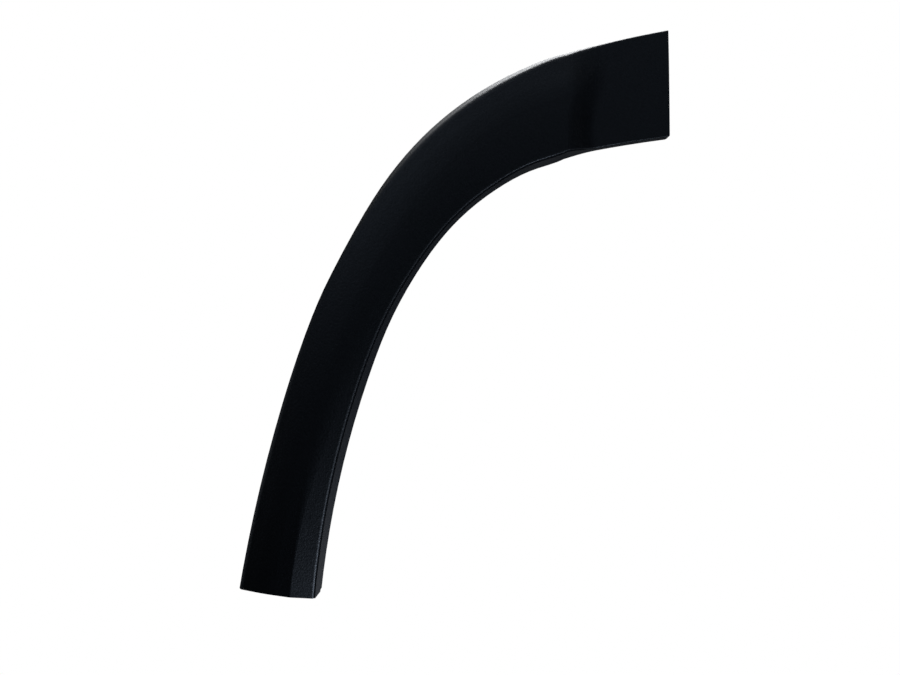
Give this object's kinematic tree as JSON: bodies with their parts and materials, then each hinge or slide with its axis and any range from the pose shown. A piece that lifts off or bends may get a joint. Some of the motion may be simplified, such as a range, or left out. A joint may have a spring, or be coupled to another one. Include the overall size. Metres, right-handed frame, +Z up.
{
  "type": "door flare molding",
  "caption": "Curved black plastic flare molding for the door side of a rear wheel arch: a hollow shell with a return flange, ribs, locating pegs and push-in clips on its back.",
  "frame": {"origin": "where the axis of the round locating peg meets the door skin", "axes": "+X to the rear of the car, +Y into the door, +Z up; the face looks along -Y and the door skin is Y = 0"},
  "size_m": [0.3593, 0.0427, 0.4745],
  "materials": {
    "black_plastic": "fine moulded grain",
    "clip_nylon": "plain moulded"
  },
  "bodies": {
    "root": {"flare_molding": "black_plastic", "retaining_clip_1": "clip_nylon", "retaining_clip_2": "clip_nylon", "retaining_clip_3": "clip_nylon", "retaining_clip_4": "clip_nylon", "retaining_clip_5": "clip_nylon", "retaining_clip_6": "clip_nylon"}
  },
  "joints": []
}
